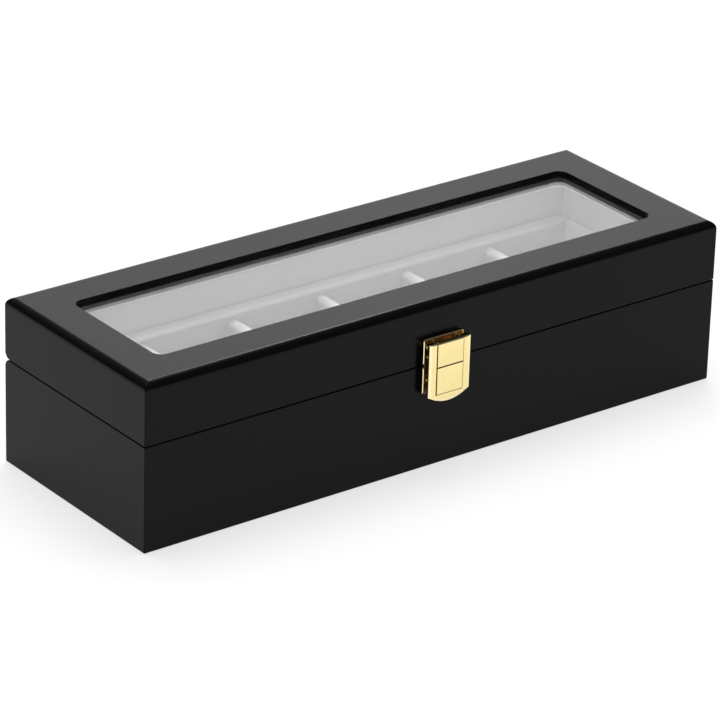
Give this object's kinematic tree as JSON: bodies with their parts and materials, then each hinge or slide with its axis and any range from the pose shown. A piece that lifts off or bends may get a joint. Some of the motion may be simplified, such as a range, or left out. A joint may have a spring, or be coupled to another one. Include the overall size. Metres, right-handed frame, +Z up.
{
  "type": "pocket watch display box",
  "caption": "Long lacquered wooden display box with a glazed, hinged lid, a suede-lined divided tray for pocket watches and a gilt snap latch.",
  "frame": {"origin": "centre of the underside, on the surface that the box stands on", "axes": "+X along the length to the right, +Y from the latch to the hinges, +Z up"},
  "size_m": [0.322, 0.1164, 0.0807],
  "materials": {
    "black_lacquer": "satin black lacquer on fibreboard",
    "window_glass": "clear float glass",
    "grey_suede": "light grey brushed suede cloth",
    "black_felt": "black felt",
    "polished_gilt": "polished gilt on cast alloy",
    "brass": "bright brass",
    "spring_steel": "blued spring steel"
  },
  "bodies": {
    "base": {"base_back_lining": "grey_suede", "base_back_wall": "black_lacquer", "base_bottom_panel": "black_lacquer", "base_front_lining": "grey_suede", "base_front_wall": "black_lacquer", "base_left_lining": "grey_suede", "base_left_wall": "black_lacquer", "base_right_lining": "grey_suede", "base_right_wall": "black_lacquer", "divider_1": "grey_suede", "divider_2": "grey_suede", "divider_3": "grey_suede", "divider_4": "grey_suede", "divider_5": "grey_suede", "hinge_base_screws": "brass", "latch_base_nails": "brass", "latch_base_plate": "polished_gilt", "left_hinge_base_leaf": "brass", "left_hinge_pin": "brass", "right_hinge_base_leaf": "brass", "right_hinge_pin": "brass", "tray_back_rail": "grey_suede", "tray_floor_pad": "grey_suede", "tray_front_rail": "grey_suede", "tray_left_rail": "grey_suede", "tray_right_rail": "grey_suede", "underside_felt": "black_felt"},
    "lid": {"glazing_bead_back": "black_lacquer", "glazing_bead_front": "black_lacquer", "glazing_bead_left": "black_lacquer", "glazing_bead_right": "black_lacquer", "hinge_lid_screws": "brass", "latch_lid_nails": "brass", "latch_lid_plate": "polished_gilt", "latch_pin": "polished_gilt", "latch_spring": "spring_steel", "left_hinge_lid_leaf": "brass", "lid_back_lining": "grey_suede", "lid_back_wall": "black_lacquer", "lid_ceiling_lining": "grey_suede", "lid_front_lining": "grey_suede", "lid_front_wall": "black_lacquer", "lid_left_lining": "grey_suede", "lid_left_wall": "black_lacquer", "lid_right_lining": "grey_suede", "lid_right_wall": "black_lacquer", "lid_top_panel": "black_lacquer", "right_hinge_lid_leaf": "brass", "window_glass": "window_glass"},
    "flap": {"latch_flap": "polished_gilt"}
  },
  "joints": [
    {"name": "lid_hinge", "type": "hinge", "parent": "base", "child": "lid", "pos_m": [0, 0.0532, 0.05105], "axis": [-1, 0, 0], "range_deg": [0, 100]},
    {"name": "flap_hinge", "type": "hinge", "parent": "lid", "child": "flap", "pos_m": [0, -0.058, 0.06155], "axis": [-1, 0, 0], "range_deg": [0, 90]}
  ]
}
